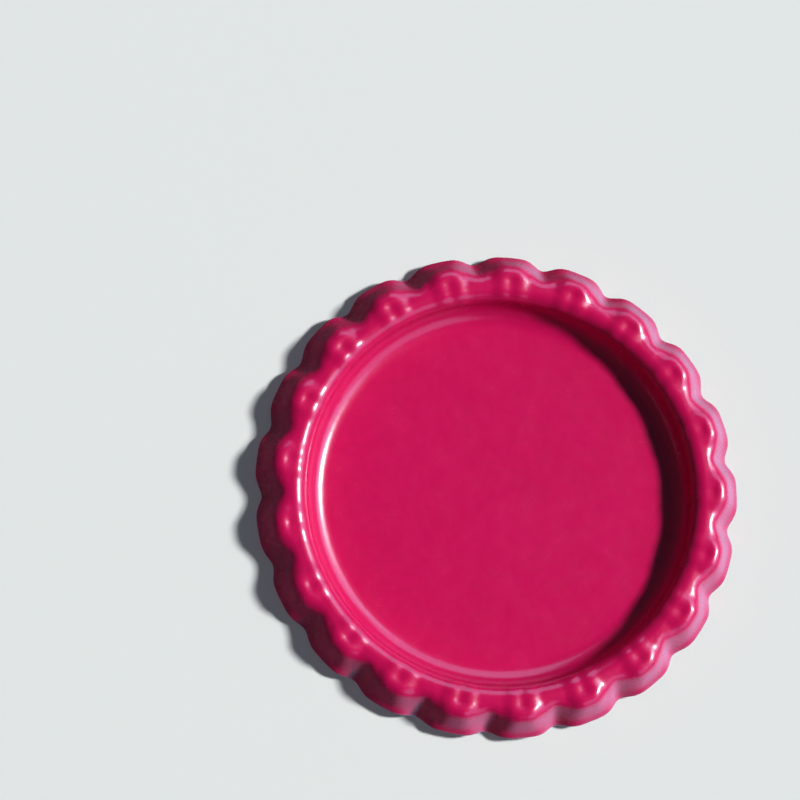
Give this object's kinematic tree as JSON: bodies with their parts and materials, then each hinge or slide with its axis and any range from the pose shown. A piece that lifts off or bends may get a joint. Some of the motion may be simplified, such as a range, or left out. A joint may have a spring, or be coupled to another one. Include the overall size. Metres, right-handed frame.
{
  "type": "bottle cap",
  "caption": "Flattened crown cap for craft work: a shallow enamelled steel dish whose wall rolls over into an outward-folded, fluted skirt.",
  "frame": {"origin": "centre of the disc's flat underside", "axes": "+Z along the cap's axis, out of the open side of the dish; +X through the middle of one flute crest"},
  "size_m": [0.0339, 0.034, 0.0027],
  "materials": {
    "enamel": "gloss magenta enamel on both sides"
  },
  "bodies": {
    "root": {"cap_shell": "enamel"}
  },
  "joints": []
}
